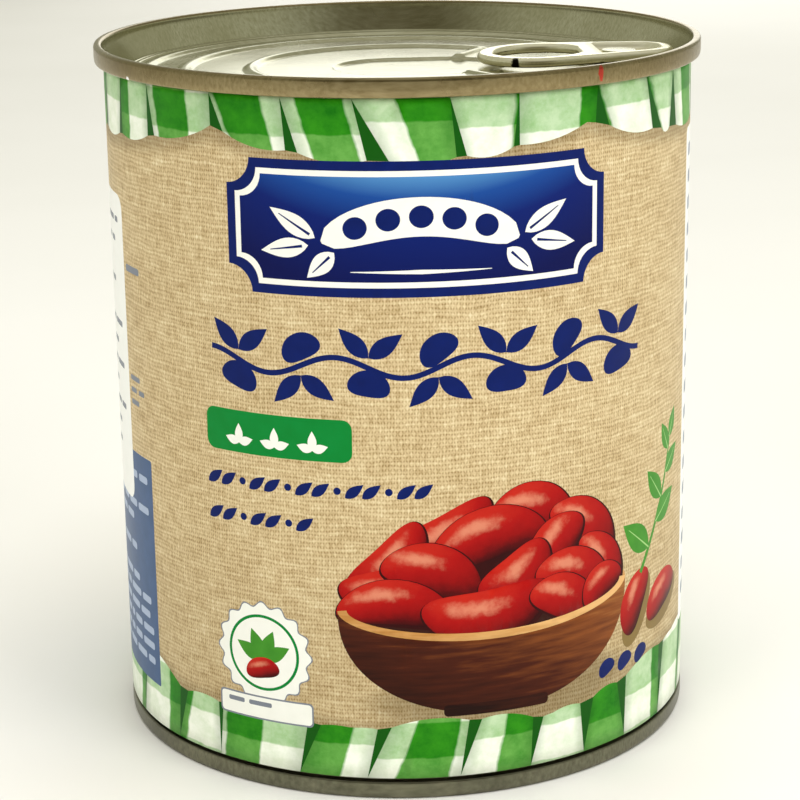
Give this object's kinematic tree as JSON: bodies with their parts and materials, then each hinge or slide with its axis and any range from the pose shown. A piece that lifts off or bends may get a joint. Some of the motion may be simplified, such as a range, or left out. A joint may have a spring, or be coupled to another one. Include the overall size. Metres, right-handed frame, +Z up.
{
  "type": "canned beans",
  "caption": "Upright steel food can of red kidney beans with an easy-open ring pull end, rolled seams at both ends and a wrap label with jute, gingham ribbon and bean print.",
  "frame": {"origin": "middle of the foot, on the surface the can stands on", "axes": "+Z up along the can's axis, label front faces -Y, ring pull lies towards +X"},
  "size_m": [0.1024, 0.1024, 0.118],
  "materials": {
    "body_tinplate": "satin tinplate",
    "end_tinplate": "bright rolled tinplate under clear lacquer",
    "tab_steel": "smooth pressed steel, pale satin",
    "label_paper": "gloss-varnished printed paper"
  },
  "bodies": {
    "root": {"can_body": "body_tinplate", "bottom_end": "end_tinplate", "top_end": "end_tinplate", "pull_tab": "tab_steel", "label": "label_paper"}
  },
  "joints": []
}
